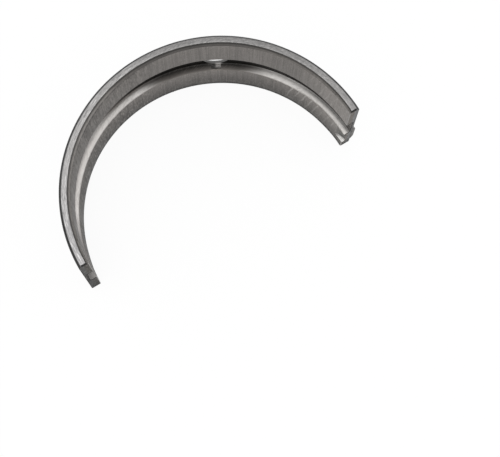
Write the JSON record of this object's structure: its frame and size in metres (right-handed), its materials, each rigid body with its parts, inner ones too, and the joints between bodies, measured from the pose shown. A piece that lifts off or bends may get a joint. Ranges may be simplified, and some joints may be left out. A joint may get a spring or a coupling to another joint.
{
  "type": "engine bearing shell",
  "caption": "Half-round plain bearing shell with a central oil groove, an oil hole and a locating tang, for the main journal of a crankshaft.",
  "frame": {"origin": "midpoint of the journal axis", "axes": "+Z along the journal axis, +Y to the crown, +X to the end with the tang; the joint faces lie in the XZ plane"},
  "size_m": [0.0607, 0.03, 0.0206],
  "materials": {
    "bearing_metal": "machined and plated, with a satin side face, a bored lining with fine marks along the axis and a bright groove"
  },
  "bodies": {
    "root": {"bearing_shell": "bearing_metal"}
  },
  "joints": []
}
